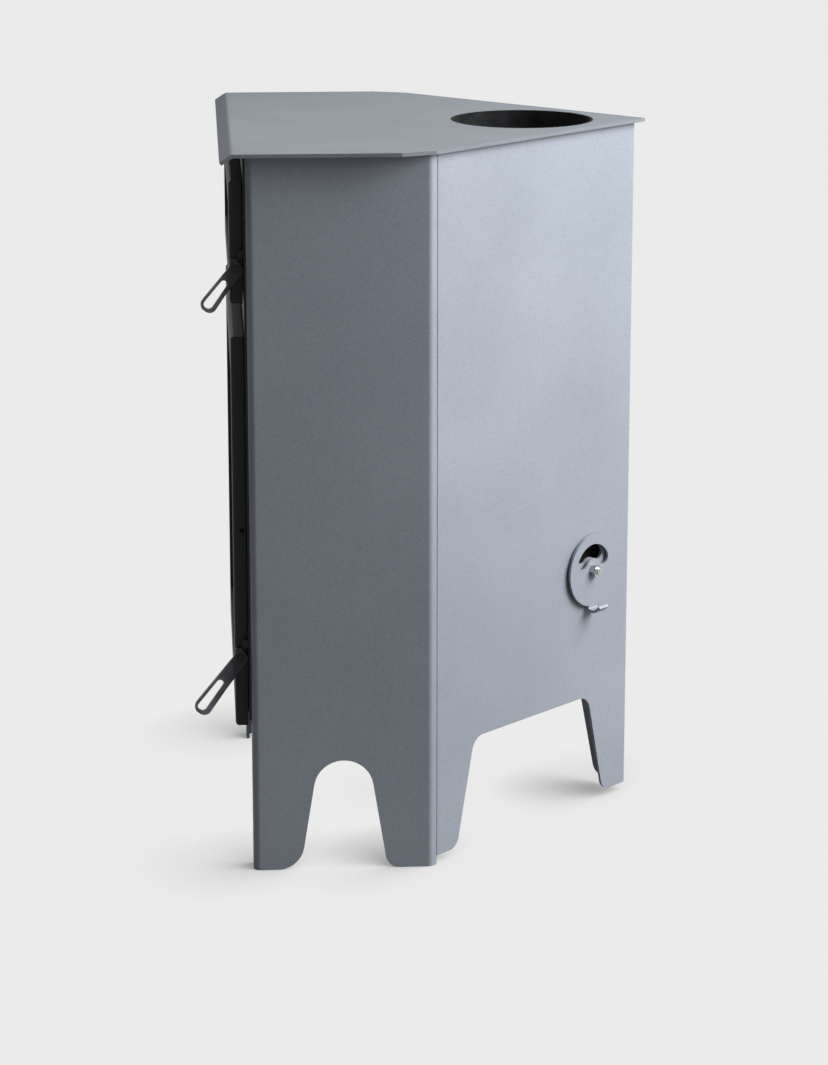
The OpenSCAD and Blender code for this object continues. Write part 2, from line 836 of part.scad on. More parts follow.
// Oven liner: a box that is open to the front
module oven_liner() {
    x = opening_x;
    color("gray") placed() difference() {
        block([-x - oven_t, 0, oven_open_z0 - oven_t],
            [x + oven_t, oven_depth + oven_t, oven_open_z1 + oven_t]);
        block([-x, -cut, oven_open_z0], [x, oven_depth, oven_open_z1]);
    }
}

// Runners along the liner's sides and the wire rack that lies on them
module rack_runners() {
    z1 = oven_open_z0 + runner_rise;
    color("silver") placed() for (m = [0, 1]) mirror([m, 0, 0])
        across(opening_x - runner_w, runner_w) polygon([
            [runner_t, z1 - runner_t], [oven_depth - runner_t, z1 - runner_t],
            [oven_depth - runner_t, z1], [runner_t, z1]]);
}

module oven_rack() {
    z = oven_open_z0 + runner_rise + rack_rod_r;
    x = opening_x - rack_play - rack_rod_r;
    y0 = rack_play + 2 * rack_rod_r;
    y1 = oven_depth - rack_play - 2 * rack_rod_r;
    pitch = 2 * (x - rack_rod_r) / (rack_wires + 1);
    color("silver") placed() {
        rod_x(-x, x, y0, z, rack_rod_r, $fn = 16);
        rod_x(-x, x, y1, z, rack_rod_r, $fn = 16);
        for (s = [-x, x]) {
            rod_y(s, y0, y1, z, rack_rod_r, $fn = 16);
            for (y = [y0, y1]) translate([s, y, z]) sphere(r = rack_rod_r, $fn = 16);
        }
        for (k = [1 : rack_wires])
            rod_y(-x + rack_rod_r + k * pitch, y0, y1, z + rack_rod_r - rack_wire_r, rack_wire_r, $fn = 14);
    }
}

// A pair of hinge heights for a door from z0 to z1
function hinge_zs(z0, z1, inset) = [z0 + inset, z1 - inset];

// The brackets on the front plate, a knuckle above and one below each door lug
module hinge_brackets(z0, z1, inset) {
    x = -door_w / 2 - hinge_out;
    color("black") placed() for (z = hinge_zs(z0, z1, inset), m = [0, 1])
        translate([0, 0, z]) mirror([0, 0, m]) translate([0, 0, lug_h / 2 + face_gap]) difference() {
            union() {
                translate([x, door_mid_y, 0]) cylinder(h = knuckle_h, r = hinge_r);
                block([x - hinge_r, door_mid_y, 0], [x + hinge_r, -front_t, knuckle_h]);
            }
            translate([x, door_mid_y, -cut])
                cylinder(h = knuckle_h + 2 * cut, r = hinge_pin_r + run_fit);
        }
}

// The pins, each with a head on its upper knuckle
module hinge_pins(z0, z1, inset) {
    x = -door_w / 2 - hinge_out;
    half = lug_h / 2 + face_gap + knuckle_h;
    color("silver") placed() for (z = hinge_zs(z0, z1, inset)) translate([x, door_mid_y, z - half]) {
        cylinder(h = 2 * half, r = hinge_pin_r);
        translate([0, 0, 2 * half]) cylinder(h = hinge_pin_head, r = hinge_pin_head_r);
    }
}

// Outline of a rectangle from -x to x and z0 to z1, with rounded corners
function frame_pts(x, z0, z1, r) = rounded([[-x, z0], [x, z0], [x, z1], [-x, z1]], [r, r, r, r]);

// A door's slab, with its four front edges rounded
module door_slab(z0, z1) {
    x = door_w / 2;
    intersection() {
        translate([0, 0, z0]) linear_extrude(height = z1 - z0)
            polygon(rounded(
                [[-x, door_front], [x, door_front], [x, door_back], [-x, door_back]],
                [door_edge_r, door_edge_r, 0, 0]));
        across(-x, door_w)
            polygon(rounded(
                [[door_front, z0], [door_front, z1], [door_back, z1], [door_back, z0]],
                [door_edge_r, door_edge_r, 0, 0]));
    }
}

// A door's frame: window, glass pocket, clip seats, rope groove, hinge lugs, pivot hole
module door_frame(z0, z1, border, inset, pivot_z, clip_zs) {
    wx = door_w / 2 - window_side;
    gx = wx + glass_lap + glass_play;
    pocket = door_front + door_front_lip;
    seat = pocket + glass_t;
    groove = rope_w + face_gap;
    rx = door_w / 2 - rope_inset;
    hx = -door_w / 2 - hinge_out;
    difference() {
        union() {
            door_slab(z0, z1);
            for (z = hinge_zs(z0, z1, inset)) translate([0, 0, z - lug_h / 2]) {
                translate([hx, door_mid_y, 0]) cylinder(h = lug_h, r = hinge_r);
                block([hx, door_mid_y - hinge_r, 0],
                    [hx + hinge_out + lug_root, door_mid_y + hinge_r, lug_h]);
            }
        }
        facing(door_front - cut, pocket + cut) polygon(frame_pts(wx, z0 + border, z1 - border, 0));
        facing(pocket, door_back + cut)
            polygon(frame_pts(gx, z0 + border - glass_lap - glass_play,
                z1 - border + glass_lap + glass_play, 0));
        for (z = clip_zs, s = [-1, 1])
            translate([s * gx, 0, z]) {
                block([-clip_reach, seat, -clip_w / 2 - face_gap],
                    [clip_reach, door_back + cut, clip_w / 2 + face_gap]);
                rod_y(s * clip_reach / 2, seat - screw_len, seat + cut, 0, screw_r + run_fit);
            }
        facing(door_back - rope_depth, door_back + cut) difference() {
            polygon(frame_pts(rx + groove / 2, z0 + rope_inset - groove / 2,
                z1 - rope_inset + groove / 2, groove));
            polygon(frame_pts(rx - groove / 2, z0 + rope_inset + groove / 2,
                z1 - rope_inset - groove / 2, 0));
        }
        for (z = hinge_zs(z0, z1, inset)) translate([hx, door_mid_y, z - lug_h])
            cylinder(h = 2 * lug_h, r = hinge_pin_r + run_fit);
        rod_x(door_w / 2 - lever_pin_depth, door_w / 2 + cut, door_mid_y, pivot_z, lever_pin_r + run_fit);
    }
}

// Glass pane in its pocket
module door_glass(z0, z1, border) {
    x = door_w / 2 - window_side + glass_lap;
    y0 = door_front + door_front_lip;
    facing(y0, y0 + glass_t) polygon(frame_pts(x, z0 + border - glass_lap, z1 - border + glass_lap, 0));
}

// Sealing rope in its groove, all round the door's back
module door_rope(z0, z1) {
    rx = door_w / 2 - rope_inset;
    half = rope_w / 2;
    y1 = -front_t - face_gap;
    facing(door_back - rope_depth, y1) difference() {
        polygon(frame_pts(rx + half, z0 + rope_inset - half, z1 - rope_inset + half, rope_w));
        polygon(frame_pts(rx - half, z0 + rope_inset + half, z1 - rope_inset - half, 0));
    }
}

// Clips that hold the glass, and their screws
module glass_clips(clip_zs) {
    gx = door_w / 2 - window_side + glass_lap + glass_play;
    y0 = door_front + door_front_lip + glass_t;
    for (z = clip_zs, m = [0, 1]) mirror([m, 0, 0]) translate([gx, 0, z]) difference() {
        block([-clip_reach + glass_play, y0, -clip_w / 2], [clip_reach - face_gap, y0 + clip_t, clip_w / 2]);
        rod_y(clip_reach / 2, y0 - cut, y0 + clip_t + cut, 0, screw_r + run_fit);
    }
}

module clip_screws(clip_zs) {
    gx = door_w / 2 - window_side + glass_lap + glass_play;
    y0 = door_front + door_front_lip + glass_t;
    for (z = clip_zs, m = [0, 1]) mirror([m, 0, 0]) translate([gx, 0, z]) {
        rod_y(clip_reach / 2, y0 - screw_len + face_gap, y0 + clip_t, 0, screw_r, $fn = 16);
        rod_y(clip_reach / 2, y0 + clip_t, y0 + clip_t + screw_head_t, 0, screw_head_r, $fn = 20);
    }
}

// Heights of the clips on each door
function clip_heights(z0, z1, border, count) =
    [for (k = [0 : count - 1]) z0 + border + (k + 0.5) / count * (z1 - z0 - 2 * border)];

oven_clips = clip_heights(oven_z0, oven_z1, oven_window_border, 2);
fire_clips = clip_heights(fire_z0, fire_z1, fire_window_border, 3);
oven_pivot_z = oven_z0 + oven_pivot_rise;
fire_pivot_z = fire_z0 + fire_pivot_rise;

module oven_hinge_brackets() {
    hinge_brackets(oven_z0, oven_z1, oven_hinge_inset);
}

module oven_hinge_pins() {
    hinge_pins(oven_z0, oven_z1, oven_hinge_inset);
}

module fire_hinge_brackets() {
    hinge_brackets(fire_z0, fire_z1, fire_hinge_inset);
}

module fire_hinge_pins() {
    hinge_pins(fire_z0, fire_z1, fire_hinge_inset);
}

module oven_door_frame() {
    color("black") placed()
        door_frame(oven_z0, oven_z1, oven_window_border, oven_hinge_inset, oven_pivot_z, oven_clips);
}

// The firebox door's near edge also has a small round recess
module fire_door_frame() {
    color("black") placed() difference() {
        door_frame(fire_z0, fire_z1, fire_window_border, fire_hinge_inset, fire_pivot_z, fire_clips);
        rod_x(door_w / 2 - edge_hole_depth, door_w / 2 + cut, door_back - edge_hole_back,
            (fire_z0 + fire_z1) / 2 + edge_hole_rise, edge_hole_r);
    }
}

module oven_door_glass() {
    color("dimgray") placed() door_glass(oven_z0, oven_z1, oven_window_border);
}

module fire_door_glass() {
    color("dimgray") placed() door_glass(fire_z0, fire_z1, fire_window_border);
}

module oven_door_rope() {
    color("gray") placed() door_rope(oven_z0, oven_z1);
}

module fire_door_rope() {
    color("gray") placed() door_rope(fire_z0, fire_z1);
}

module oven_glass_clips() {
    color("silver") placed() glass_clips(oven_clips);
}

module fire_glass_clips() {
    color("silver") placed() glass_clips(fire_clips);
}

module oven_clip_screws() {
    color("silver") placed() clip_screws(oven_clips);
}

module fire_clip_screws() {
    color("silver") placed() clip_screws(fire_clips);
}

// Lever: an arm with a long drop-shaped slot, a round root and a hook above it.
// Drawn flat: the first number is forward to back, the second is up
module lever(len, w, slope, slot_len) {
    function arm(u, v) = [-u * cos(slope) - v * sin(slope), -u * sin(slope) + v * cos(slope)];
    hook = hook_shares * lever_root_r;
    spread = lever_spread(len, w);
    bend_u = (-hook[0][0] - root_share * w * sin(slope)) / (cos(slope) + spread * sin(slope));
    back = hook[3][0];
    slot_u = len - slot_end;
    function under(u, r) = arm(u, root_share * w + spread * u - slot_wall - r);
    tip_r = tip_share * w;
    difference() {
        polygon(rounded(
            concat([for (p = arm_shares) arm(p[0] * len, p[1] * w)],
                [arm(bend_u, root_share * w + spread * bend_u)],
                hook, [[back, back * (sin(slope) - 1) / cos(slope)]]),
            [w, tip_r, tip_r, hook_fillet, hook_r, hook_r, 0, 0, back]));
        circle(r = lever_pin_r + run_fit);
        polygon(belt(
            under(slot_u - slot_len, slot_top_r), slot_top_r,
            under(slot_u, slot_low_r), slot_low_r));
    }
}

module latch_lever(len, w, slope, slot_len, z) {
    across(door_w / 2 + lever_gap, lever_t)
        translate([door_mid_y, z]) lever(len, w, slope, slot_len);
}

module oven_latch_lever() {
    color("black") placed()
        latch_lever(oven_lever_len, oven_lever_w, oven_lever_slope, oven_slot_len, oven_pivot_z);
}

module fire_latch_lever() {
    color("black") placed()
        latch_lever(fire_lever_len, fire_lever_w, fire_lever_slope, fire_slot_len, fire_pivot_z);
}

// Pivot pin of a lever, screwed into the door's edge
module lever_pin(z) {
    x1 = door_w / 2 + lever_gap + lever_t + face_gap;
    rod_x(door_w / 2 - lever_pin_depth + face_gap, x1, door_mid_y, z, lever_pin_r);
    rod_x(x1, x1 + lever_head_t, door_mid_y, z, lever_head_r);
}

module oven_lever_pin() {
    color("black") placed() lever_pin(oven_pivot_z);
}

module fire_lever_pin() {
    color("black") placed() lever_pin(fire_pivot_z);
}

// Catches: a small bracket on the front plate with a pin that each hook closes under
module latch_catches() {
    reach = norm(hook_shares[0] * lever_root_r) + catch_pin_r + face_gap;
    y = -front_t - catch_pin_r - catch_gap;
    rise = sqrt(reach * reach - (y - door_mid_y) * (y - door_mid_y));
    x0 = door_w / 2 + lever_gap + lever_t + 2 * face_gap;
    color("black") placed() for (z = [oven_pivot_z, fire_pivot_z]) translate([0, 0, z + rise]) {
        rod_x(door_w / 2 + lever_gap, x0 + catch_t / 2, y, 0, catch_pin_r);
        block([x0, y - catch_pin_r, -catch_pin_r], [x0 + catch_t, -front_t, catch_w]);
    }
}

// Regulator's bolt: its head is inside the rear shell
module regulator_bolt() {
    color("silver") placed() on_slant() translate([disc_along, disc_z, 0]) {
        translate([0, 0, -rear_t]) cylinder(h = rear_t + bolt_out, r = bolt_d / 2);
        translate([0, 0, -rear_t - head_h]) cylinder(h = head_h, r = nut_af / 2 / cos(30), $fn = 6);
    }
}

// Fibre washer that keeps the disc off the panel
module regulator_washer() {
    color("dimgray") placed() on_slant() translate([disc_along, disc_z, 0]) difference() {
        cylinder(h = disc_stand - face_gap, r = spacer_r);
        translate([0, 0, -cut]) cylinder(h = disc_stand + 2 * cut, r = bolt_d / 2 + run_fit);
    }
}

module regulator_nut() {
    color("silver") placed() on_slant()
        translate([disc_along, disc_z, disc_stand + disc_t + face_gap]) difference() {
            cylinder(h = nut_h, r = nut_af / 2 / cos(30), $fn = 6);
            translate([0, 0, -cut]) cylinder(h = nut_h + 2 * cut, r = bolt_d / 2 + run_fit);
        }
}

// Regulator's disc: a turned plate with a curved port and a bent finger tab
module regulator_disc() {
    drop = disc_d / 2;
    root = drop - tab_root;
    color("lightslategray") placed() on_slant() translate([disc_along, disc_z, disc_stand]) {
        difference() {
            cylinder(h = disc_t, r = disc_d / 2, $fn = 120);
            translate([0, 0, -cut]) {
                linear_extrude(height = disc_t + 2 * cut) port(port_half);
                cylinder(h = disc_t + 2 * cut, r = bolt_d / 2 + run_fit);
            }
        }
        // The tab's side view is drawn outward and up, then swept over its width
        translate([-tab_w / 2, 0, 0]) rotate([90, 0, 90]) linear_extrude(height = tab_w)
            polygon(bent(
                [[-root, disc_t], [-drop - disc_t, disc_t], [-drop - disc_t - tab_dip, disc_t + tab_reach],
                    [-drop - disc_t - tab_dip + tab_rise, disc_t + tab_reach + tab_curl]],
                disc_t, [tab_r, tab_curl / 2]));
    }
}

top_plate();
flue_collar();
side_panel_right();
side_panel_left();
rear_shell();
corner_strip_right();
corner_strip_left();
front_plate();
hearth_plate();
rear_foot_boss();
rear_foot();
grate_tray();
ash_pan();
grate();
floor_bricks();
log_retainer();
side_lining_right();
side_lining_left();
rear_lining_right();
rear_lining_left();
baffle_board();
oven_liner();
rack_runners();
oven_rack();
oven_hinge_brackets();
oven_hinge_pins();
fire_hinge_brackets();
fire_hinge_pins();
latch_catches();
regulator_bolt();
regulator_washer();
regulator_nut();
regulator_disc();
oven_door_frame();
oven_door_glass();
oven_door_rope();
oven_glass_clips();
oven_clip_screws();
oven_lever_pin();
oven_latch_lever();
fire_door_frame();
fire_door_glass();
fire_door_rope();
fire_glass_clips();
fire_clip_screws();
fire_lever_pin();
fire_latch_lever();
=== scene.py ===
import math
import bpy
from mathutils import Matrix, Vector


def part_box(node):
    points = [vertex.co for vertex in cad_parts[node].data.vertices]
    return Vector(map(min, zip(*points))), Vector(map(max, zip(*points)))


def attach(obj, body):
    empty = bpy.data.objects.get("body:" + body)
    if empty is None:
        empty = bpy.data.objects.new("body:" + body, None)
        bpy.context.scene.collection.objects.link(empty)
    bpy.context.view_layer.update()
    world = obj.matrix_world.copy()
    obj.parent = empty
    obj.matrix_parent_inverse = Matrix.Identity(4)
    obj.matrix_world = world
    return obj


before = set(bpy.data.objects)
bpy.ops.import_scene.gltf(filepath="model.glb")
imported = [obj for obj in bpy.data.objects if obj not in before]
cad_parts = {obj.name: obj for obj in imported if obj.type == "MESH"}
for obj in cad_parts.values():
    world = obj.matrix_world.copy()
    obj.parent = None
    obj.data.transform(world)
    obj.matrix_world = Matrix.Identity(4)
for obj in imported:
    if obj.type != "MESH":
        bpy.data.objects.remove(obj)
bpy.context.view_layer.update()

# The view
# The stove is seen from its right side, a little from the front and above,
# with a long lens about 3.8 m away.
view = bpy.data.cameras.new("view")
view.sensor_fit = "HORIZONTAL"
view.sensor_width = 36.0
view.lens = 143.79
view.shift_x = -0.0057
view.clip_end = 100.0
camera = bpy.data.objects.new("camera", view)
camera.location = (3.71657, -0.24825, 1.27869)
camera.rotation_euler = (math.radians(75.564), 0.0, math.radians(86.134))
bpy.context.scene.collection.objects.link(camera)
bpy.context.scene.camera = camera
bpy.context.scene.view_settings.view_transform = "Standard"


# The studio
# A pale seamless floor between walls that are darker in front of the stove
# than behind it, under a faint ceiling. A large soft box hangs behind the
# stove, and a small lamp over its front edge.
def hex_colour(text):
    channels = [int(text[i:i + 2], 16) / 255 for i in (1, 3, 5)]
    linear = [c / 12.92 if c <= 0.04045 else ((c + 0.055) / 1.055) ** 2.4 for c in channels]
    return (*linear, 1.0)


# A setting goes to the socket of that name or number, or else to the node.
# A link names its socket too, with _ for a space, or as i and its number.
def fit(tree, node, settings=None, **links):
    for name, value in (settings or {}).items():
        if name == "stops":
            for stop, (position, colour) in zip(node.color_ramp.elements, value):
                stop.position = position
                stop.color = hex_colour(colour)
        elif isinstance(name, int) or name in node.inputs:
            node.inputs[name].default_value = value
        else:
            setattr(node, name, value)
    for name, source in links.items():
        numbered = name[0] == "i" and name[1:].isdigit()
        socket = int(name[1:]) if numbered else name.replace("_", " ")
        tree.links.new(source, node.inputs[socket])
    return node


def add(tree, kind, settings=None, **links):
    return fit(tree, tree.nodes.new(kind), settings, **links)


# One for the rays that look at the studio, straight or in metal and glass
def looked_at(tree):
    path = add(tree, "ShaderNodeLightPath")
    seen = add(tree, "ShaderNodeMath", {"operation": "MAXIMUM"},
               i0=path.outputs["Is Camera Ray"], i1=path.outputs["Is Glossy Ray"])
    return add(tree, "ShaderNodeMath", {"operation": "MAXIMUM"},
               i0=seen.outputs[0], i1=path.outputs["Is Transmission Ray"]).outputs[0]


# How strongly each part of the studio glows
front_wall = 0.015
rear_wall = 1.0
wall_foot = 1.0
wall_top = 0.1
ceiling_glow = 0.05

sky = bpy.data.worlds.new("studio walls")
sky.use_nodes = True
tree = sky.node_tree
towards = add(tree, "ShaderNodeTexCoord")
axes = add(tree, "ShaderNodeSeparateXYZ", None, Vector=towards.outputs["Generated"])
wall = add(tree, "ShaderNodeMapRange",
           {"interpolation_type": "SMOOTHSTEP", "From Min": -0.55, "From Max": 0.95,
            "To Min": front_wall, "To Max": rear_wall},
           Value=axes.outputs["Y"])
height = add(tree, "ShaderNodeMapRange",
             {"From Min": 0.0, "From Max": 1.0, "To Min": wall_foot, "To Max": wall_top},
             Value=axes.outputs["Z"])
walls = add(tree, "ShaderNodeMath", {"operation": "MULTIPLY"},
            i0=wall.outputs["Result"], i1=height.outputs["Result"])
ceiling = add(tree, "ShaderNodeMapRange",
              {"interpolation_type": "SMOOTHSTEP", "From Min": 0.5, "From Max": 1.0,
               "To Min": 0.0, "To Max": ceiling_glow},
              Value=axes.outputs["Z"])
glow = add(tree, "ShaderNodeMath", {"operation": "ADD"},
           i0=walls.outputs[0], i1=ceiling.outputs["Result"])
light = fit(tree, tree.nodes["Background"], {"Color": hex_colour("#FDFDFF")},
            Strength=glow.outputs[0])
backdrop = add(tree, "ShaderNodeBackground", {"Color": hex_colour("#EBEBEB"), "Strength": 1.0})
walls_seen = add(tree, "ShaderNodeMixShader", None,
                 i0=looked_at(tree), i1=light.outputs[0], i2=backdrop.outputs[0])
fit(tree, tree.nodes["World Output"], Surface=walls_seen.outputs[0])
bpy.context.scene.world = sky


def hang_lamp(name, side, watts, place, aim):
    lamp = bpy.data.lights.new(name, "AREA")
    lamp.size = side
    lamp.energy = watts
    hung = bpy.data.objects.new(name, lamp)
    hung.location = place
    hung.rotation_euler = (hung.location - Vector(aim)).to_track_quat("Z", "Y").to_euler()
    bpy.context.scene.collection.objects.link(hung)


hang_lamp("soft box", side=1.6, watts=112.0, place=(0.45, 1.75, 1.75), aim=(0.05, 0.0, 0.45))
hang_lamp("strip light over the front", side=0.5, watts=5.5,
          place=(0.1, -0.55, 1.75), aim=(0.1, -0.22, 0.79))

# The floor's own shading is kept for all light. To the camera and in
# reflections it is mostly the pale paper itself, less so close to a foot,
# where the side towards the soft box is covered.
foot_shade = 0.14
towards_box = (0.42, 0.74, 0.53)
paper_by_foot = 0.35
paper_open = 0.97

bpy.ops.object.select_all(action="DESELECT")
bpy.ops.mesh.primitive_plane_add(size=80.0, location=(0.0, 0.0, 0.0))
floor = bpy.context.object
floor.name = "floor"
paper = bpy.data.materials.new("matt paper sweep")
paper.use_nodes = True
tree = paper.node_tree
shaded = fit(tree, tree.nodes["Principled BSDF"],
             {"Base Color": hex_colour("#606060"), "Roughness": 1.0, "Specular IOR Level": 0.0})
lit = add(tree, "ShaderNodeEmission", {"Color": hex_colour("#EEEEEE"), "Strength": 1.0})
box_side = add(tree, "ShaderNodeCombineXYZ",
               {"X": towards_box[0], "Y": towards_box[1], "Z": towards_box[2]})
nearby = add(tree, "ShaderNodeAmbientOcclusion", {"samples": 8, "Distance": foot_shade},
             Normal=box_side.outputs["Vector"])
paper_share = add(tree, "ShaderNodeMapRange",
                  {"From Min": 0.5, "From Max": 1.0, "To Min": paper_by_foot, "To Max": paper_open},
                  Value=nearby.outputs["AO"])
share = add(tree, "ShaderNodeMath", {"operation": "MULTIPLY"},
            i0=looked_at(tree), i1=paper_share.outputs[0])
mixed = add(tree, "ShaderNodeMixShader", None,
            i0=share.outputs[0], i1=shaded.outputs[0], i2=lit.outputs[0])
fit(tree, tree.nodes["Material Output"], Surface=mixed.outputs[0])
floor.data.materials.append(paper)


# Casing
# Side panels, rear shell, corner strips and regulator disc: laser-cut and
# folded sheet steel, sprayed with a heat-resistant grey paint that holds
# fine metal flake.
def start_material(name):
    made = bpy.data.materials.new(name)
    made.use_nodes = True
    tree = made.node_tree
    place = add(tree, "ShaderNodeTexCoord")
    return made, tree, tree.nodes["Principled BSDF"], place.outputs["Object"]


def dress(names, material):
    for name in names:
        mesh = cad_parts[name].data
        mesh.materials.clear()
        mesh.materials.append(material)


# Real flake is far too fine to show, so its grain is drawn this coarse.
flake_size = 0.0014
# Nearly all of a noise pattern's values lie in this span.
noise_span = {"From Min": 0.3, "From Max": 0.7}


def flaked_coat(tree, shader, where, base):
    flake = add(tree, "ShaderNodeTexNoise",
                {"Scale": 1 / flake_size, "Detail": 2.0, "Roughness": 0.6}, Vector=where)
    grain = add(tree, "ShaderNodeValToRGB", {"stops": ((0.35, "#E6E6E6"), (0.68, "#FFFFFF"))},
                Fac=flake.outputs["Fac"])
    speckled = add(tree, "ShaderNodeMix", {"data_type": "RGBA", "blend_type": "MULTIPLY", 0: 1.0},
                   i6=base.outputs["Color"], i7=grain.outputs["Color"])
    fit(tree, shader, Base_Color=speckled.outputs[2])
    return flake.outputs["Fac"]


# Sprayed metallic paint: a fine grain of flake, a slight orange peel and a
# faint unevenness in how thickly it lies; it looks satin, never glossy.
cloud_size = 0.180
paint, tree, shader, where = start_material("metallic stove paint")
cloud = add(tree, "ShaderNodeTexNoise",
            {"Scale": 1 / cloud_size, "Detail": 3.0, "Roughness": 0.5}, Vector=where)
base = add(tree, "ShaderNodeValToRGB", {"stops": ((0.30, "#8B919B"), (0.70, "#949AA4"))},
           Fac=cloud.outputs["Fac"])
flake = flaked_coat(tree, shader, where, base)
rough = add(tree, "ShaderNodeMapRange", {**noise_span, "To Min": 0.42, "To Max": 0.56}, Value=flake)
peel = add(tree, "ShaderNodeBump", {"Strength": 0.10, "Distance": 0.0002}, Height=flake)
fit(tree, shader, {"Metallic": 0.08, "Specular IOR Level": 0.3},
    Roughness=rough.outputs["Result"], Normal=peel.outputs["Normal"])
dress(["side_panel_right", "side_panel_left", "rear_shell",
       "corner_strip_right", "corner_strip_left", "regulator_disc"], paint)


# Top plate
# One heavier sheet with a folded front lip, in the same kind of paint,
# drawn a little darker and matter than on the sides.
cloud_size = 0.120
hot, tree, shader, where = start_material("stove paint, darker and matter on the top")
cloud = add(tree, "ShaderNodeTexNoise",
            {"Scale": 1 / cloud_size, "Detail": 4.0, "Roughness": 0.55}, Vector=where)
base = add(tree, "ShaderNodeValToRGB", {"stops": ((0.30, "#777C81"), (0.70, "#80858B"))},
           Fac=cloud.outputs["Fac"])
flaked_coat(tree, shader, where, base)
rough = add(tree, "ShaderNodeMapRange", {**noise_span, "To Min": 0.66, "To Max": 0.80},
            Value=cloud.outputs["Fac"])
fit(tree, shader, {"Metallic": 0.05, "Specular IOR Level": 0.08},
    Roughness=rough.outputs["Result"])
dress(["top_plate"], hot)


# Bare steel
# Hearth plate, grate tray, ash pan, oven liner and rack runners: rolled
# sheet left bare, with blue-grey blotches of mill scale.
blotch_size = 0.040
scale_steel, tree, shader, where = start_material("hot-rolled steel")
blotch = add(tree, "ShaderNodeTexNoise",
             {"Scale": 1 / blotch_size, "Detail": 6.0, "Roughness": 0.6}, Vector=where)
base = add(tree, "ShaderNodeValToRGB", {"stops": ((0.35, "#45474B"), (0.68, "#6B6E73"))},
           Fac=blotch.outputs["Fac"])
rough = add(tree, "ShaderNodeMapRange", {**noise_span, "To Min": 0.38, "To Max": 0.60},
            Value=blotch.outputs["Fac"])
fit(tree, shader, {"Metallic": 0.80},
    Base_Color=base.outputs["Color"], Roughness=rough.outputs["Result"])
dress(["hearth_plate", "grate_tray", "ash_pan", "oven_liner", "rack_runners"], scale_steel)


# Flue collar
# A short tube rolled from sheet under the top plate, coloured near-black
# all over: painted shade for the dark inside of the flue hole.
shade_mottle_size = 0.025
flue_shade_steel, tree, shader, where = start_material("near-black steel painted as shade in the flue")
shade_mottle = add(tree, "ShaderNodeTexNoise",
           {"Scale": 1 / shade_mottle_size, "Detail": 5.0, "Roughness": 0.6}, Vector=where)
# Near-black, mottled: painted shade inside the flue hole.
base = add(tree, "ShaderNodeValToRGB", {"stops": ((0.35, "#0D0D0E"), (0.70, "#212224"))},
           Fac=shade_mottle.outputs["Fac"])
fit(tree, shader, {"Roughness": 0.85, "Specular IOR Level": 0.1}, Base_Color=base.outputs["Color"])
dress(["flue_collar"], flue_shade_steel)


# Zinc plating
# Bolt, nut, hinge pins, glass clips and screws, the levelling foot with its
# boss and the oven's wire rack: steel with a bright, slightly cloudy coat.
cloud_size = 0.004
zinc, tree, shader, where = start_material("bright zinc plate")
cloud = add(tree, "ShaderNodeTexNoise",
            {"Scale": 1 / cloud_size, "Detail": 3.0, "Roughness": 0.5}, Vector=where)
base = add(tree, "ShaderNodeValToRGB", {"stops": ((0.0, "#A9ACAE"), (1.0, "#D2D4D4"))},
           Fac=cloud.outputs["Fac"])
fit(tree, shader, {"Metallic": 1.0, "Roughness": 0.28}, Base_Color=base.outputs["Color"])
dress(["rear_foot_boss", "rear_foot", "oven_rack", "oven_hinge_pins", "fire_hinge_pins",
       "regulator_bolt", "regulator_nut", "oven_glass_clips", "oven_clip_screws",
       "fire_glass_clips", "fire_clip_screws"], zinc)


# Screw threads
# The rolled threads of the levelling foot, 12 mm, and of the regulator's
# bolt end, 8 mm: a fine helical crest on each rod, in the rod's own zinc.
def thread_crest(name, rod_r, pitch, length, crest, foot, lean=0.0, heading=0.0):
    bpy.ops.object.select_all(action="DESELECT")
    bpy.ops.mesh.primitive_circle_add(vertices=4, radius=crest, location=(rod_r, 0.0, 0.0),
                                      rotation=(math.radians(90), 0.0, 0.0))
    ridge = bpy.context.object
    ridge.name = name
    bpy.ops.object.transform_apply(location=True, rotation=True, scale=True)
    winding = ridge.modifiers.new("winding", "SCREW")
    winding.axis = "Z"
    winding.screw_offset = pitch
    winding.iterations = int(length / pitch)
    winding.steps = 20
    winding.render_steps = 20
    bpy.ops.object.modifier_apply(modifier="winding")
    bpy.ops.object.mode_set(mode="EDIT")
    bpy.ops.mesh.select_all(action="SELECT")
    bpy.ops.mesh.fill_holes(sides=4)
    bpy.ops.mesh.normals_make_consistent(inside=False)
    bpy.ops.object.mode_set(mode="OBJECT")
    ridge.rotation_euler = (0.0, lean, heading)
    ridge.location = foot
    bpy.ops.object.transform_apply(location=True, rotation=True, scale=True)
    ridge.data.materials.append(zinc)
    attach(ridge, "casing")


pad_h = 0.008
low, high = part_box("rear_foot")
boss_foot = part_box("rear_foot_boss")[0][2]
thread_crest("foot_thread", rod_r=0.006, pitch=0.00175, length=boss_foot - pad_h, crest=0.0003,
             foot=((low[0] + high[0]) / 2, (low[1] + high[1]) / 2, pad_h))

# The bolt stands out square to the right rear panel, and its end shows past the nut.
bolt_r = 0.004
bolt_show = 0.0038
slant = math.radians(45)
low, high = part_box("regulator_bolt")
back = (bolt_r + bolt_show) * math.cos(slant)
thread_crest("regulator_bolt_thread", rod_r=bolt_r, pitch=0.00125, length=bolt_show, crest=0.0002,
             foot=(high[0] - back, high[1] - back, (low[2] + high[2]) / 2),
             lean=math.radians(90), heading=slant)


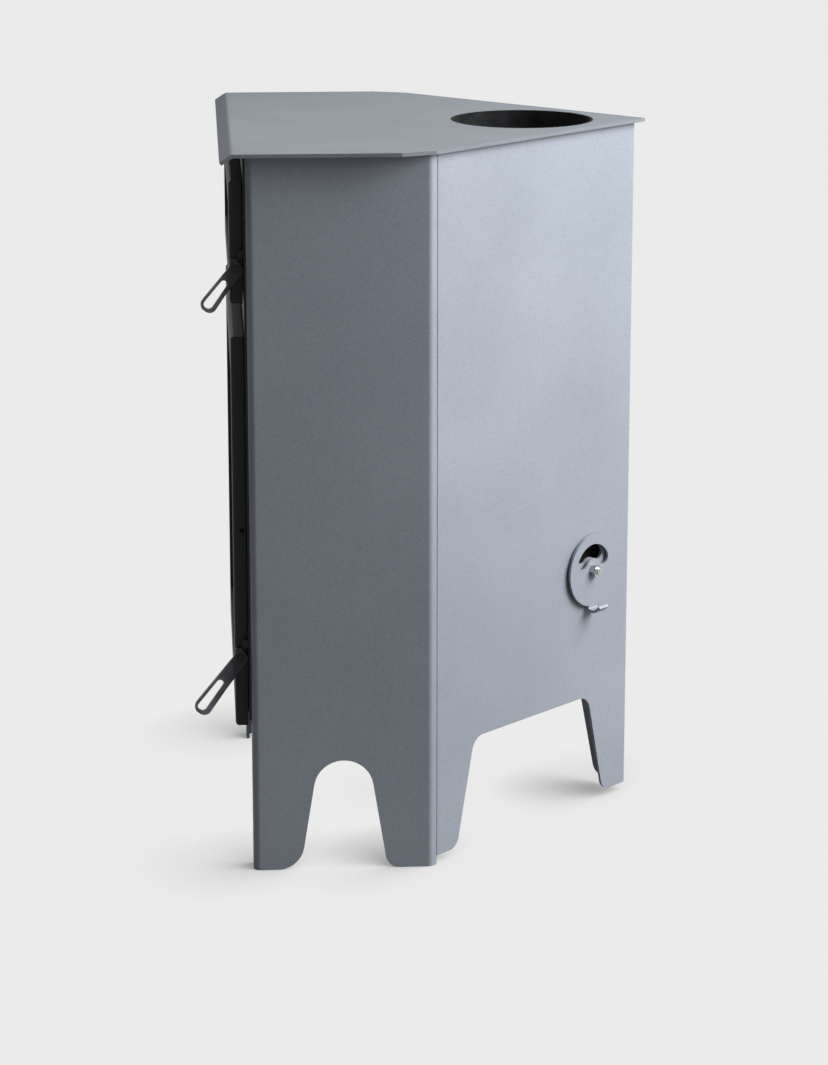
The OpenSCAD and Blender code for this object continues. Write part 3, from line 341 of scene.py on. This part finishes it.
# Doors
# Frames, hinge brackets, latch catches, lever pins and the plate behind the
# doors: steel in satin black paint, over a slight texture of the metal.
cast_size = 0.0020
black, tree, shader, where = start_material("satin black stove paint")
cast = add(tree, "ShaderNodeTexNoise",
           {"Scale": 1 / cast_size, "Detail": 3.0, "Roughness": 0.6}, Vector=where)
base = add(tree, "ShaderNodeValToRGB", {"stops": ((0.3, "#0B0B0D"), (0.7, "#131316"))},
           Fac=cast.outputs["Fac"])
rough = add(tree, "ShaderNodeMapRange", {**noise_span, "To Min": 0.48, "To Max": 0.62},
            Value=cast.outputs["Fac"])
skin = add(tree, "ShaderNodeBump", {"Strength": 0.15, "Distance": 0.0002},
           Height=cast.outputs["Fac"])
fit(tree, shader, {"Specular IOR Level": 0.2}, Base_Color=base.outputs["Color"],
    Roughness=rough.outputs["Result"], Normal=skin.outputs["Normal"])
dress(["front_plate", "oven_door_frame", "fire_door_frame", "oven_hinge_brackets",
       "fire_hinge_brackets", "latch_catches", "oven_lever_pin", "fire_lever_pin"], black)


# Latch levers
# Two flat levers, laser-cut from plate, tumbled to soften their edges and
# blackened in oil. Each is drawn near-black up to the door's front face and
# turns to the plate's grey halfway out to its tip.
wear_size = 0.012
blued, tree, shader, where = start_material("oil-blackened steel plate")
worn = add(tree, "ShaderNodeTexNoise",
           {"Scale": 1 / wear_size, "Detail": 5.0, "Roughness": 0.6}, Vector=where)
base = add(tree, "ShaderNodeValToRGB", {"stops": ((0.35, "#3E4046"), (0.70, "#5E6168"))},
           Fac=worn.outputs["Fac"])
axes = add(tree, "ShaderNodeSeparateXYZ", None, Vector=where)
tip_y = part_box("oven_latch_lever")[0][1]
door_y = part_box("oven_door_frame")[0][1]
# Near-black at the door's front face, grey from halfway to the tip.
door_to_tip_blend = add(tree, "ShaderNodeMapRange", {"From Min": door_y, "From Max": (door_y + tip_y) / 2},
              Value=axes.outputs["Y"])
dark_by_door_mix = add(tree, "ShaderNodeMix", {"data_type": "RGBA", 6: hex_colour("#101114")},
            i0=door_to_tip_blend.outputs["Result"], i7=base.outputs["Color"])
rough = add(tree, "ShaderNodeMapRange", {**noise_span, "To Min": 0.50, "To Max": 0.34},
            Value=worn.outputs["Fac"])
fit(tree, shader, {"Metallic": 0.55},
    Base_Color=dark_by_door_mix.outputs[2], Roughness=rough.outputs["Result"])
dress(["oven_latch_lever", "fire_latch_lever"], blued)


# Door glass
# Ceramic glass, polished, with a faint grey-brown tint that is a little
# uneven, as if wiped.
haze_size = 0.060
glass, tree, shader, where = start_material("tinted ceramic glass")
haze = add(tree, "ShaderNodeTexNoise", {"Scale": 1 / haze_size, "Detail": 2.0}, Vector=where)
tint = add(tree, "ShaderNodeValToRGB", {"stops": ((0.0, "#A5A29E"), (1.0, "#B2AFAB"))},
           Fac=haze.outputs["Fac"])
fit(tree, shader, {"Roughness": 0.03, "IOR": 1.54, "Transmission Weight": 1.0},
    Base_Color=tint.outputs["Color"])
dress(["oven_door_glass", "fire_door_glass"], glass)


# Sealing ropes
# Knitted glass-fibre rope in the groove round each door's back, matt and
# lumpy with its loops, and the regulator's washer of the same fibre.
loop_size = 0.0016
rope, tree, shader, where = start_material("knitted glass-fibre rope")
knit = add(tree, "ShaderNodeTexVoronoi", {"Scale": 1 / loop_size}, Vector=where)
# Each loop is drawn darker towards its rim: painted shade in the creases between the loops.
base = add(tree, "ShaderNodeValToRGB", {"stops": ((0.0, "#6E6D69"), (1.0, "#3C3B39"))},
           Fac=knit.outputs["Distance"])
loops = add(tree, "ShaderNodeBump", {"Strength": 0.5, "Distance": 0.0006, "invert": True},
            Height=knit.outputs["Distance"])
fit(tree, shader, {"Roughness": 0.9},
    Base_Color=base.outputs["Color"], Normal=loops.outputs["Normal"])
dress(["oven_door_rope", "fire_door_rope", "regulator_washer"], rope)


# Grate
# Grate and log retainer: grey iron cast in sand, sooty, with an open grain
# that is drawn at 2.5 mm so that it shows.
sand_size = 0.0025
iron, tree, shader, where = start_material("sooty cast iron")
sand = add(tree, "ShaderNodeTexNoise",
           {"Scale": 1 / sand_size, "Detail": 5.0, "Roughness": 0.65}, Vector=where)
base = add(tree, "ShaderNodeValToRGB", {"stops": ((0.0, "#1B1A1A"), (1.0, "#3C3A38"))},
           Fac=sand.outputs["Fac"])
pits = add(tree, "ShaderNodeBump", {"Strength": 0.6, "Distance": 0.0006},
           Height=sand.outputs["Fac"])
fit(tree, shader, {"Metallic": 0.4, "Roughness": 0.7},
    Base_Color=base.outputs["Color"], Normal=pits.outputs["Normal"])
dress(["grate", "log_retainer"], iron)


# Lining boards
# Floor bricks, side linings and baffle: vermiculite pressed into boards,
# pale gold-brown flakes set in a matt binder.
def pressed_board(name, stops):
    chip_size = 0.0030
    board, tree, shader, where = start_material(name)
    chips = add(tree, "ShaderNodeTexVoronoi", {"Scale": 1 / chip_size}, Vector=where)
    base = add(tree, "ShaderNodeValToRGB", {"stops": stops}, Fac=chips.outputs["Color"])
    press = add(tree, "ShaderNodeBump", {"Strength": 0.5, "Distance": 0.0008},
                Height=chips.outputs["Distance"])
    fit(tree, shader, {"Roughness": 0.95},
        Base_Color=base.outputs["Color"], Normal=press.outputs["Normal"])
    return board


dress(["floor_bricks", "side_lining_right", "side_lining_left", "baffle_board"],
      pressed_board("pressed vermiculite board", ((0.0, "#A8936C"), (1.0, "#D8C8A2"))))

# The two rear boards stand nearest the flame and the air channel: the same
# board, coloured near-black so that only a few flakes still catch the light:
# painted shade for the dark air channel seen through the regulator's port.
dress(["rear_lining_right", "rear_lining_left"],
      pressed_board("vermiculite board painted black as shade behind the port", ((0.55, "#0E0D0C"), (1.0, "#2B2620"))))
